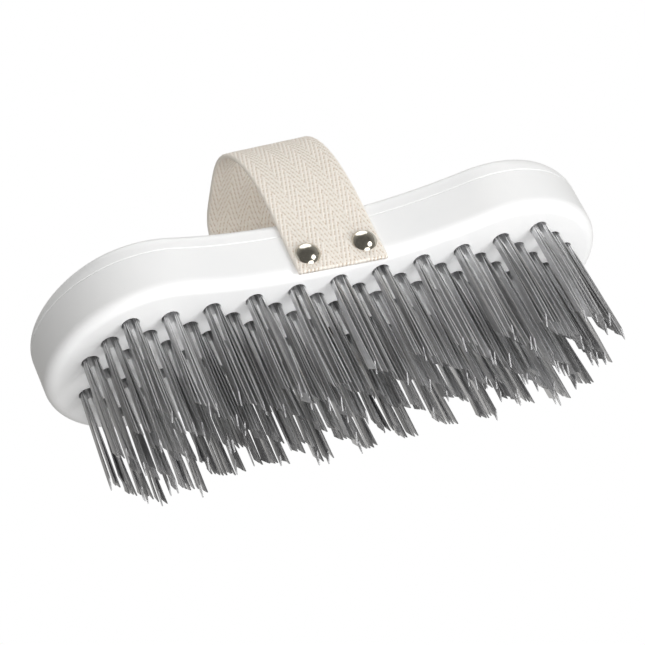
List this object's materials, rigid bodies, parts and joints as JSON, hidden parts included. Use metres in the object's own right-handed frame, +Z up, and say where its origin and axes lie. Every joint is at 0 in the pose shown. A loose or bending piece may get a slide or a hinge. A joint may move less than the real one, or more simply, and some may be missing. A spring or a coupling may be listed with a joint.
{
  "type": "curry comb",
  "caption": "Grooming brush for horses and livestock: dogbone plastic back, staggered tufts of flat steel wire and a riveted webbing hand strap.",
  "frame": {"origin": "on the floor plane through the wire tips, under the middle of the body", "axes": "+Z up from the wire tips to the back and strap, +X along the length, +Y across towards the far wall"},
  "size_m": [0.205, 0.077, 0.1205],
  "materials": {
    "white_plastic": "satin moulded",
    "wire_steel": "rolled flat wire",
    "anchor_steel": "plain",
    "cotton_webbing": "herringbone twill weave",
    "nail_nickel": "polished nickel plate"
  },
  "bodies": {
    "root": {"brush_block": "white_plastic", "back_cover": "white_plastic", "tuft_row_1": "wire_steel", "tuft_row_2": "wire_steel", "tuft_row_3": "wire_steel", "tuft_row_4": "wire_steel", "tuft_row_5": "wire_steel", "tuft_row_6": "wire_steel", "tuft_row_7": "wire_steel", "anchor_row_1": "anchor_steel", "anchor_row_2": "anchor_steel", "anchor_row_3": "anchor_steel", "anchor_row_4": "anchor_steel", "anchor_row_5": "anchor_steel", "anchor_row_6": "anchor_steel", "anchor_row_7": "anchor_steel", "hand_strap": "cotton_webbing", "near_left_nail": "nail_nickel", "near_right_nail": "nail_nickel", "far_left_nail": "nail_nickel", "far_right_nail": "nail_nickel"}
  },
  "joints": []
}
